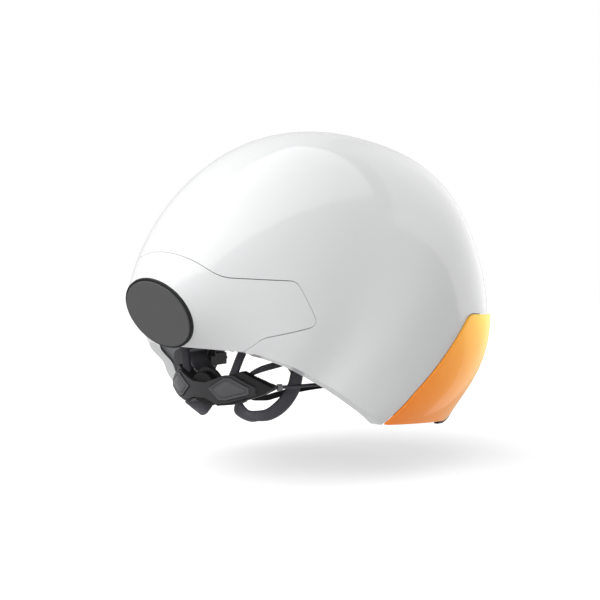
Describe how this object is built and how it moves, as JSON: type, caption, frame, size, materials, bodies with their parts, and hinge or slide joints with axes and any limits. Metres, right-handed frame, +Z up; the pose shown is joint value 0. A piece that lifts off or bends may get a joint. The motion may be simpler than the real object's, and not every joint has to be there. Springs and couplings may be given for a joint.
{
  "type": "aero time trial helmet",
  "caption": "Aero time trial helmet with a short covered tail, a magnetic wrap visor and a dial-fit nape cradle",
  "frame": {"origin": "centre of the head opening, on the mid-plane, level with the helmet's lower front edge", "axes": "+X to the front, +Y to the wearer's left, +Z up"},
  "size_m": [0.2823, 0.2086, 0.1932],
  "materials": {
    "gloss_white": "gloss white paint",
    "cap_grey": "matt dark grey",
    "black_plastic": "matt black",
    "black_rubber": "matt black rubber",
    "cradle_grey": "satin dark grey",
    "light_plastic": "pale moulded plastic",
    "lens_orange": "mirror finish, orange to yellow",
    "liner_foam": "beaded grey foam",
    "pad_fabric": "black brushed fabric",
    "webbing": "charcoal woven webbing",
    "cord": "smooth black cord",
    "magnet": "nickel plated",
    "steel": "plain steel"
  },
  "bodies": {
    "helmet": {"outer_shell": "gloss_white", "tail_fairing": "gloss_white", "tail_port_ring": "black_plastic", "port_magnets": "magnet", "face_frame": "black_plastic", "frame_magnets": "magnet", "liner_front": "liner_foam", "liner_rear": "liner_foam", "brow_pad": "pad_fabric", "buckle_housing": "black_plastic", "buckle_clip": "black_plastic", "side_pad_left": "pad_fabric", "side_pad_right": "pad_fabric", "rear_pad_left": "pad_fabric", "rear_pad_right": "pad_fabric", "crown_pad_left": "pad_fabric", "crown_pad_right": "pad_fabric", "hanger_anchor_left": "black_plastic", "hanger_anchor_right": "black_plastic", "cord_guide_left": "black_plastic", "cord_guide_right": "black_plastic", "chin_strap_loop_left": "webbing", "chin_strap_loop_right": "webbing", "ear_divider_left": "black_plastic", "ear_divider_right": "black_plastic", "front_strap_left": "webbing", "front_strap_right": "webbing", "rear_strap_left": "webbing", "rear_strap_right": "webbing", "front_strap_anchor_left": "black_plastic", "front_strap_anchor_right": "black_plastic", "rear_strap_anchor_left": "black_plastic", "rear_strap_anchor_right": "black_plastic"},
    "visor": {"visor_lens": "lens_orange", "visor_nose_trim": "black_rubber", "visor_magnets": "magnet"},
    "tail_cap": {"tail_cap": "cap_grey", "cap_magnets": "magnet"},
    "cradle": {"cradle_base": "black_plastic", "cradle_cover": "cradle_grey", "dial_pin": "steel", "cover_screws": "steel", "cradle_panel_left": "cradle_grey", "cradle_panel_right": "cradle_grey", "cord_eyelet_left": "light_plastic", "cord_eyelet_right": "light_plastic", "fit_cord_left": "cord", "fit_cord_right": "cord", "nape_pad_left": "pad_fabric", "nape_pad_right": "pad_fabric", "hanger_left": "webbing", "hanger_right": "webbing"},
    "dial": {"fit_dial": "black_rubber", "cord_spool": "black_plastic"}
  },
  "joints": [
    {"name": "visor_pull", "type": "slide", "parent": "helmet", "child": "visor", "axis": [1, 0, 0], "range_m": [0, 0.05]},
    {"name": "tail_cap_pull", "type": "slide", "parent": "helmet", "child": "tail_cap", "axis": [-0.9033, 0, -0.4289], "range_m": [0, 0.025]},
    {"name": "cradle_fit", "type": "slide", "parent": "helmet", "child": "cradle", "axis": [-1, 0, 0], "range_m": [0, 0.01]},
    {"name": "dial_spin", "type": "hinge", "parent": "cradle", "child": "dial", "pos_m": [-0.0927, 0, 0.0306], "axis": [1, 0, 0], "range_deg": [0, 216]}
  ],
  "couplings": [
    {"joint": "dial_spin", "follows": "cradle_fit", "rad_per_m": 376.99}
  ]
}
